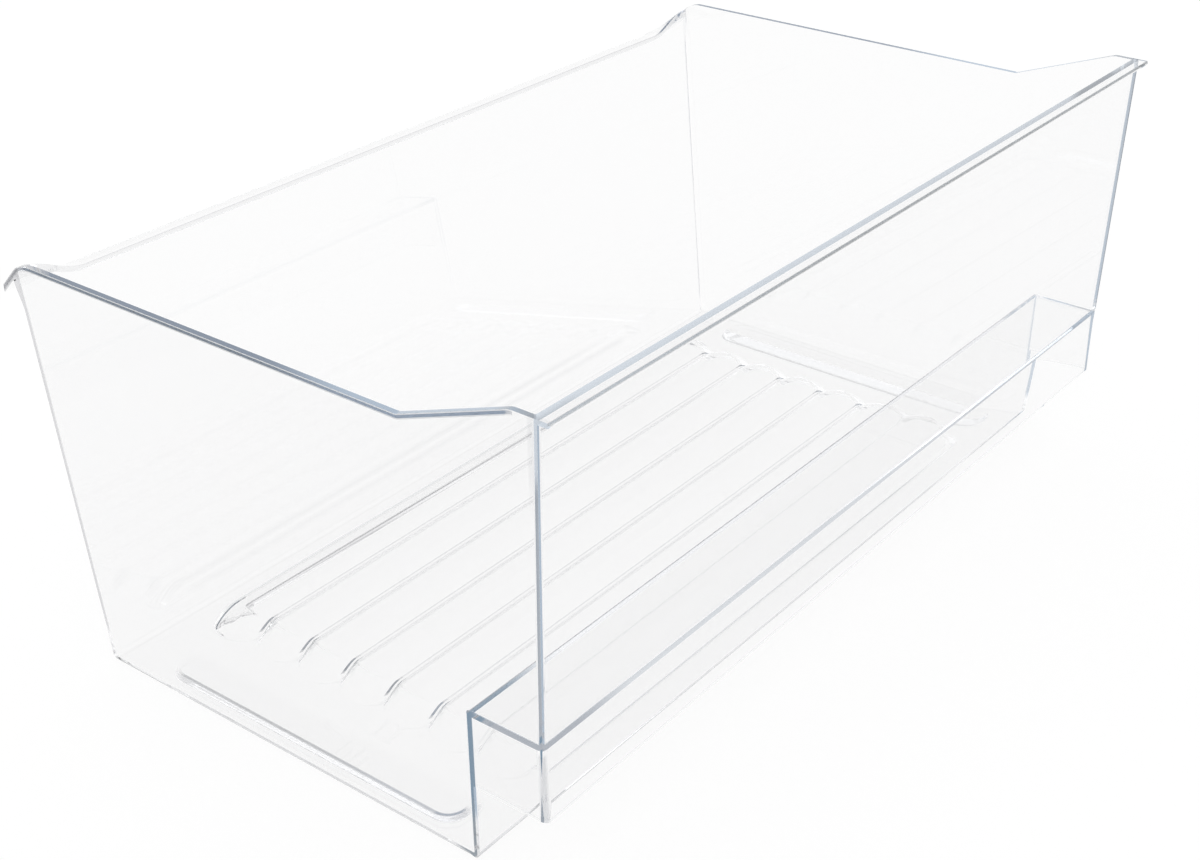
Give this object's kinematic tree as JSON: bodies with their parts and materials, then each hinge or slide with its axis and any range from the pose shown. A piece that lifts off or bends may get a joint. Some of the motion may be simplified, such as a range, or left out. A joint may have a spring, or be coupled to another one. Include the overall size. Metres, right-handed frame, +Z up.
{
  "type": "crisper drawer",
  "caption": "Clear open-topped refrigerator drawer with a ribbed floor, a stepped front with a finger channel under its ledge, a front top flange and a curved back lip.",
  "frame": {"origin": "middle of the bounding box in plan, on the floor's underside", "axes": "+X to the right seen from the front, +Y from the front wall to the back wall, +Z up"},
  "size_m": [0.4666, 0.283, 0.206],
  "materials": {
    "clear_plastic": "clear, polished, with a faint blue-grey tint in the edges"
  },
  "bodies": {
    "root": {"front_wall": "clear_plastic", "front_flange": "clear_plastic", "grip_ledge": "clear_plastic", "grip_skirt": "clear_plastic", "lower_front_wall": "clear_plastic", "back_wall": "clear_plastic", "back_lip": "clear_plastic", "floor_front": "clear_plastic", "floor_back": "clear_plastic", "end_wall_left": "clear_plastic", "end_wall_right": "clear_plastic", "skirt_end_left": "clear_plastic", "skirt_end_right": "clear_plastic", "back_lip_end_left": "clear_plastic", "back_lip_end_right": "clear_plastic", "rail_pad_left": "clear_plastic", "rail_pad_right": "clear_plastic", "floor_rib_1": "clear_plastic", "floor_rib_2": "clear_plastic", "floor_rib_3": "clear_plastic", "floor_rib_4": "clear_plastic", "floor_rib_5": "clear_plastic", "floor_rib_6": "clear_plastic", "floor_rib_7": "clear_plastic"}
  },
  "joints": []
}
